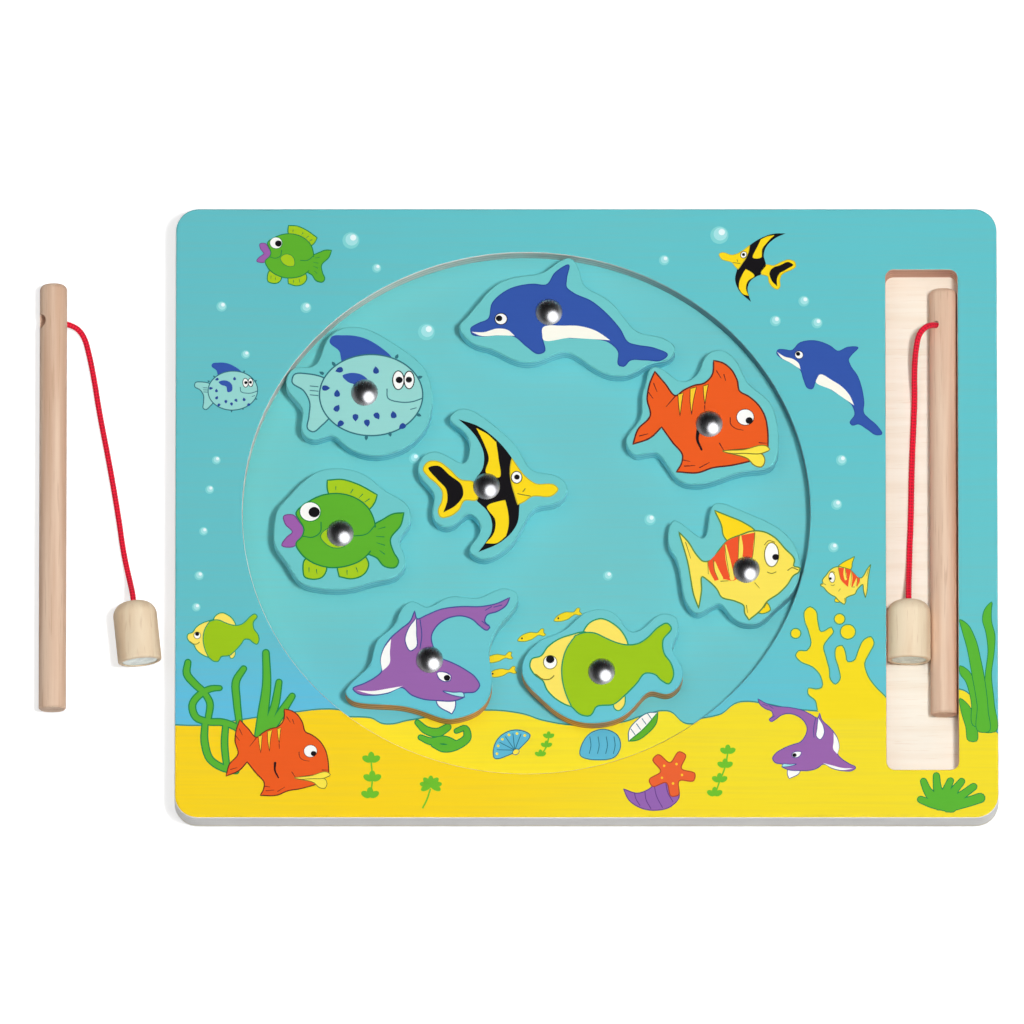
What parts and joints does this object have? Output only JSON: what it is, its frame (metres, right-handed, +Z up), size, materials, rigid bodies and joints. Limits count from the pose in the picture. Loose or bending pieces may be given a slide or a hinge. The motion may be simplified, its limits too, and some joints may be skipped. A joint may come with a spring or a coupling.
{
  "type": "magnetic fishing game",
  "caption": "Wooden fishing game: a printed board with an oval pool of loose studded fish, a slot for a rod, and wooden rods with magnets on red cords.",
  "frame": {"origin": "middle of the board's underside", "axes": "+X along the board's width towards the rod slot, +Y towards the back edge, +Z up"},
  "size_m": [0.3498, 0.228, 0.0192],
  "materials": {
    "printed_board": "printed, satin",
    "plain_board": "sanded, unpainted",
    "printed_fish": "printed, satin",
    "stud_steel": "polished",
    "rod_wood": "sanded beech",
    "bobbin_wood": "sanded beech",
    "magnet_steel": "nickel",
    "red_cord": "braided"
  },
  "bodies": {
    "root": {"base_board": "plain_board", "play_board": "printed_board", "top_frame": "printed_board", "puffer_fish_plate": "printed_fish", "dolphin_plate": "printed_fish", "orange_fish_plate": "printed_fish", "angel_fish_plate": "printed_fish", "green_fish_plate": "printed_fish", "striped_fish_plate": "printed_fish", "shark_plate": "printed_fish", "lime_fish_plate": "printed_fish", "puffer_fish_stud": "stud_steel", "dolphin_stud": "stud_steel", "orange_fish_stud": "stud_steel", "angel_fish_stud": "stud_steel", "green_fish_stud": "stud_steel", "striped_fish_stud": "stud_steel", "shark_stud": "stud_steel", "lime_fish_stud": "stud_steel", "loose_rod": "rod_wood", "loose_bobbin": "bobbin_wood", "loose_magnet": "magnet_steel", "loose_cord": "red_cord", "loose_rod_knot": "red_cord", "loose_bobbin_knot": "red_cord", "slot_rod": "rod_wood", "slot_bobbin": "bobbin_wood", "slot_magnet": "magnet_steel", "slot_cord": "red_cord", "slot_rod_knot": "red_cord", "slot_bobbin_knot": "red_cord"}
  },
  "joints": []
}
